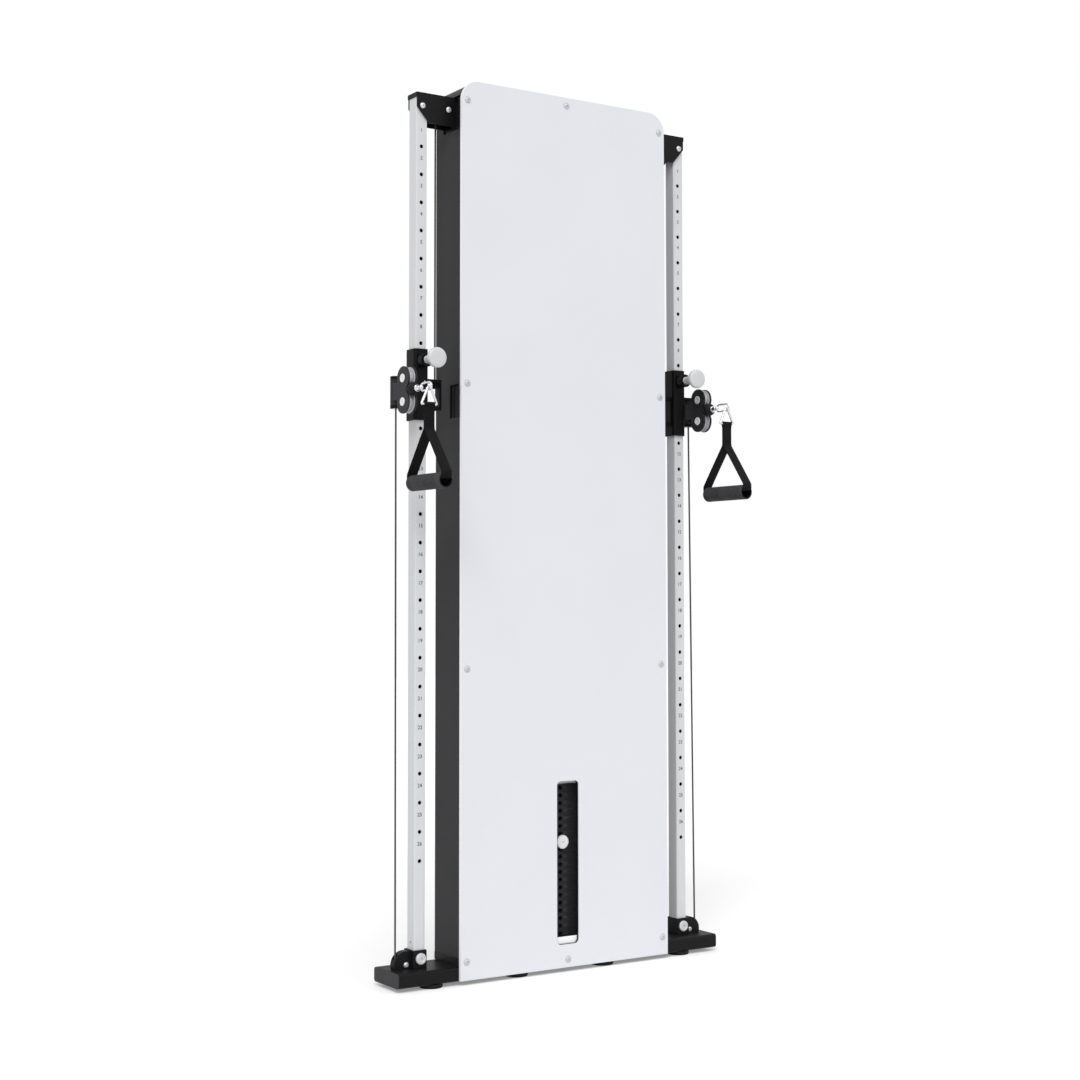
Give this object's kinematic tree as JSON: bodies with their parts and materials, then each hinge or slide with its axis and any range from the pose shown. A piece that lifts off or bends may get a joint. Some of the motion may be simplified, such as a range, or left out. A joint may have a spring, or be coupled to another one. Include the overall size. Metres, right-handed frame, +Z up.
{
  "type": "wall pulley weight stack",
  "caption": "Slim wall pulley weight stack with two numbered columns, sliding carriages, swivelling pulley blocks and stirrup handles.",
  "frame": {"origin": "on the floor, in the middle of the tower, on the plane of the columns' front faces", "axes": "+X to the right as a user faces it, +Y towards the wall, +Z up"},
  "size_m": [0.958, 0.3005, 2.22],
  "materials": {
    "panel_grey": "pale grey powder coat, satin",
    "housing_grey": "dark grey powder coat, satin",
    "frame_black": "black powder coat, satin",
    "column_grey": "light grey powder coat with printed plain numbers",
    "bright_steel": "zinc plated bolts",
    "rod_steel": "hard chromed guide rods",
    "hook_chrome": "bright chrome",
    "weight_iron": "dark painted plates with pale plain numbers",
    "carriage_black": "black powder coat, satin",
    "block_grey": "dark grey powder coat",
    "sheave_nylon": "black nylon",
    "sheave_pale": "turned aluminium",
    "knob_grey": "turned and satin anodised",
    "pin_white": "white moulded knob on a steel pin",
    "cable_black": "black coated steel cable",
    "cap_black": "black moulded end caps",
    "pad_rubber": "black rubber",
    "ball_rubber": "black rubber",
    "webbing_black": "black woven nylon webbing",
    "grip_foam": "dark foam over a black tube"
  },
  "bodies": {
    "stand": {"base_beam": "frame_black", "beam_end_caps": "cap_black", "foot_pads": "pad_rubber", "front_panel": "panel_grey", "panel_screws": "bright_steel", "side_skin_left": "housing_grey", "side_skin_right": "housing_grey", "top_cover": "housing_grey", "frame_top": "frame_black", "frame_middle": "frame_black", "frame_bottom": "frame_black", "column_left": "column_grey", "column_right": "column_grey", "top_bracket_left": "frame_black", "top_bracket_right": "frame_black", "bottom_bracket_left": "frame_black", "bottom_bracket_right": "frame_black", "bracket_bolts": "bright_steel", "guide_rods": "rod_steel", "resting_plates": "weight_iron", "stack_bumpers": "pad_rubber", "upper_cable_left": "cable_black", "upper_cable_right": "cable_black", "outer_cable_left": "cable_black", "outer_cable_right": "cable_black", "routed_cables": "cable_black", "lift_cables": "cable_black"},
    "weight": {"lift_yoke": "frame_black", "lifted_plates": "weight_iron"},
    "selector": {"selector_pin": "pin_white"},
    "top_pulley_left": {"top_sheave_left": "sheave_nylon"},
    "foot_pulley_left": {"foot_sheave_left": "sheave_nylon"},
    "inner_pulley_left": {"inner_sheave_left": "sheave_nylon"},
    "crown_pulley_left": {"crown_sheave_left": "sheave_nylon"},
    "float_pulley_left": {"float_sheave_left": "sheave_nylon"},
    "carriage_body_left": {"carriage_left": "carriage_black"},
    "plunger_body_left": {"plunger_left": "knob_grey"},
    "block_left": {"pulley_block_left": "block_grey"},
    "upper_pulley_left": {"block_sheave_upper_left": "sheave_pale"},
    "lower_pulley_left": {"block_sheave_lower_left": "sheave_pale"},
    "roller_left": {"guide_roller_left": "sheave_pale"},
    "handle_left": {"ball_stop_left": "ball_rubber", "snap_hook_left": "hook_chrome"},
    "stirrup_left": {"strap_left": "webbing_black", "grip_left": "grip_foam"},
    "top_pulley_right": {"top_sheave_right": "sheave_nylon"},
    "foot_pulley_right": {"foot_sheave_right": "sheave_nylon"},
    "inner_pulley_right": {"inner_sheave_right": "sheave_nylon"},
    "crown_pulley_right": {"crown_sheave_right": "sheave_nylon"},
    "float_pulley_right": {"float_sheave_right": "sheave_nylon"},
    "carriage_body_right": {"carriage_right": "carriage_black"},
    "plunger_body_right": {"plunger_right": "knob_grey"},
    "block_right": {"pulley_block_right": "block_grey"},
    "upper_pulley_right": {"block_sheave_upper_right": "sheave_pale"},
    "lower_pulley_right": {"block_sheave_lower_right": "sheave_pale"},
    "roller_right": {"guide_roller_right": "sheave_pale"},
    "handle_right": {"ball_stop_right": "ball_rubber", "snap_hook_right": "hook_chrome"},
    "stirrup_right": {"strap_right": "webbing_black", "grip_right": "grip_foam"}
  },
  "joints": [
    {"name": "weight_lift", "type": "slide", "parent": "stand", "child": "weight", "axis": [0, 0, 1], "range_m": [0, 1], "deforming": ["lift_cables"]},
    {"name": "selector_pull", "type": "slide", "parent": "weight", "child": "selector", "axis": [0, 1, 0], "range_m": [-0.05, 0]},
    {"name": "top_pulley_spin_left", "type": "hinge", "parent": "stand", "child": "top_pulley_left", "pos_m": [-0.323, 0.0175, 2.151], "axis": [0, 1, 0], "continuous": true},
    {"name": "foot_pulley_spin_left", "type": "hinge", "parent": "stand", "child": "foot_pulley_left", "pos_m": [-0.4288, 0.0175, 0.0545], "axis": [0, 1, 0], "continuous": true},
    {"name": "inner_pulley_spin_left", "type": "hinge", "parent": "stand", "child": "inner_pulley_left", "pos_m": [-0.223, 0.0175, 0.0545], "axis": [0, 1, 0], "continuous": true},
    {"name": "crown_pulley_spin_left", "type": "hinge", "parent": "stand", "child": "crown_pulley_left", "pos_m": [-0.223, 0.0175, 2.151], "axis": [0, 1, 0], "continuous": true},
    {"name": "float_pulley_spin_left", "type": "hinge", "parent": "weight", "child": "float_pulley_left", "pos_m": [-0.273, 0.0175, 0.56], "axis": [0, 1, 0], "continuous": true},
    {"name": "carriage_slide_left", "type": "slide", "parent": "stand", "child": "carriage_body_left", "axis": [0, 0, 1], "range_m": [-1.076, 0.534], "deforming": ["upper_cable_left", "outer_cable_left"]},
    {"name": "plunger_pull_left", "type": "slide", "parent": "carriage_body_left", "child": "plunger_body_left", "axis": [0, -1, 0], "range_m": [0, 0.012], "stiffness_N_per_m": 900, "springref_m": -0.012},
    {"name": "block_swivel_left", "type": "hinge", "parent": "carriage_body_left", "child": "block_left", "pos_m": [-0.451, 0.0288, 1.4375], "axis": [0, 0, -1], "range_deg": [-22, 85]},
    {"name": "upper_pulley_spin_left", "type": "hinge", "parent": "block_left", "child": "upper_pulley_left", "pos_m": [-0.451, -0.029, 1.4666], "axis": [1, 0, 0], "continuous": true},
    {"name": "lower_pulley_spin_left", "type": "hinge", "parent": "block_left", "child": "lower_pulley_left", "pos_m": [-0.451, -0.029, 1.4092], "axis": [1, 0, 0], "continuous": true},
    {"name": "roller_spin_left", "type": "hinge", "parent": "block_left", "child": "roller_left", "pos_m": [-0.451, 0.01855, 1.42765], "axis": [1, 0, 0], "continuous": true},
    {"name": "handle_pull_left", "type": "slide", "parent": "block_left", "child": "handle_left", "axis": [0, -1, 0], "range_m": [0, 2]},
    {"name": "handle_swing_left", "type": "hinge", "parent": "handle_left", "child": "stirrup_left", "pos_m": [-0.451, -0.137, 1.4379], "axis": [-1, 0, 0], "range_deg": [-12, 80]},
    {"name": "top_pulley_spin_right", "type": "hinge", "parent": "stand", "child": "top_pulley_right", "pos_m": [0.323, 0.0175, 2.151], "axis": [0, 1, 0], "continuous": true},
    {"name": "foot_pulley_spin_right", "type": "hinge", "parent": "stand", "child": "foot_pulley_right", "pos_m": [0.4288, 0.0175, 0.0545], "axis": [0, 1, 0], "continuous": true},
    {"name": "inner_pulley_spin_right", "type": "hinge", "parent": "stand", "child": "inner_pulley_right", "pos_m": [0.223, 0.0175, 0.0545], "axis": [0, 1, 0], "continuous": true},
    {"name": "crown_pulley_spin_right", "type": "hinge", "parent": "stand", "child": "crown_pulley_right", "pos_m": [0.223, 0.0175, 2.151], "axis": [0, 1, 0], "continuous": true},
    {"name": "float_pulley_spin_right", "type": "hinge", "parent": "weight", "child": "float_pulley_right", "pos_m": [0.273, 0.0175, 0.56], "axis": [0, 1, 0], "continuous": true},
    {"name": "carriage_slide_right", "type": "slide", "parent": "stand", "child": "carriage_body_right", "axis": [0, 0, 1], "range_m": [-1.076, 0.534], "deforming": ["upper_cable_right", "outer_cable_right"]},
    {"name": "plunger_pull_right", "type": "slide", "parent": "carriage_body_right", "child": "plunger_body_right", "axis": [0, -1, 0], "range_m": [0, 0.012], "stiffness_N_per_m": 900, "springref_m": -0.012},
    {"name": "block_swivel_right", "type": "hinge", "parent": "carriage_body_right", "child": "block_right", "pos_m": [0.451, 0.0288, 1.4375], "axis": [0, 0, 1], "range_deg": [-22, 85]},
    {"name": "upper_pulley_spin_right", "type": "hinge", "parent": "block_right", "child": "upper_pulley_right", "pos_m": [0.451, -0.029, 1.4666], "axis": [1, 0, 0], "continuous": true},
    {"name": "lower_pulley_spin_right", "type": "hinge", "parent": "block_right", "child": "lower_pulley_right", "pos_m": [0.451, -0.029, 1.4092], "axis": [1, 0, 0], "continuous": true},
    {"name": "roller_spin_right", "type": "hinge", "parent": "block_right", "child": "roller_right", "pos_m": [0.451, 0.01855, 1.42765], "axis": [1, 0, 0], "continuous": true},
    {"name": "handle_pull_right", "type": "slide", "parent": "block_right", "child": "handle_right", "axis": [0, -1, 0], "range_m": [0, 2]},
    {"name": "handle_swing_right", "type": "hinge", "parent": "handle_right", "child": "stirrup_right", "pos_m": [0.451, -0.137, 1.4379], "axis": [-1, 0, 0], "range_deg": [-12, 80]}
  ],
  "couplings": [
    {"joint": "foot_pulley_spin_left", "follows": "weight_lift", "rad_per_m": 80},
    {"joint": "inner_pulley_spin_left", "follows": "weight_lift", "rad_per_m": 80},
    {"joint": "crown_pulley_spin_left", "follows": "weight_lift", "rad_per_m": 80},
    {"joint": "float_pulley_spin_left", "follows": "weight_lift", "rad_per_m": -40},
    {"joint": "top_pulley_spin_left", "follows": "carriage_slide_left", "rad_per_m": 40},
    {"joint": "upper_pulley_spin_left", "follows": "weight_lift", "rad_per_m": -69.686},
    {"joint": "lower_pulley_spin_left", "follows": "weight_lift", "rad_per_m": 69.686},
    {"joint": "roller_spin_left", "follows": "weight_lift", "rad_per_m": 195.12},
    {"joint": "handle_pull_left", "follows": "weight_lift", "ratio": 2},
    {"joint": "foot_pulley_spin_right", "follows": "weight_lift", "rad_per_m": -80},
    {"joint": "inner_pulley_spin_right", "follows": "weight_lift", "rad_per_m": -80},
    {"joint": "crown_pulley_spin_right", "follows": "weight_lift", "rad_per_m": -80},
    {"joint": "float_pulley_spin_right", "follows": "weight_lift", "rad_per_m": 40},
    {"joint": "top_pulley_spin_right", "follows": "carriage_slide_right", "rad_per_m": -40},
    {"joint": "upper_pulley_spin_right", "follows": "weight_lift", "rad_per_m": -69.686},
    {"joint": "lower_pulley_spin_right", "follows": "weight_lift", "rad_per_m": 69.686},
    {"joint": "roller_spin_right", "follows": "weight_lift", "rad_per_m": 195.12},
    {"joint": "handle_pull_right", "follows": "weight_lift", "ratio": 2}
  ]
}
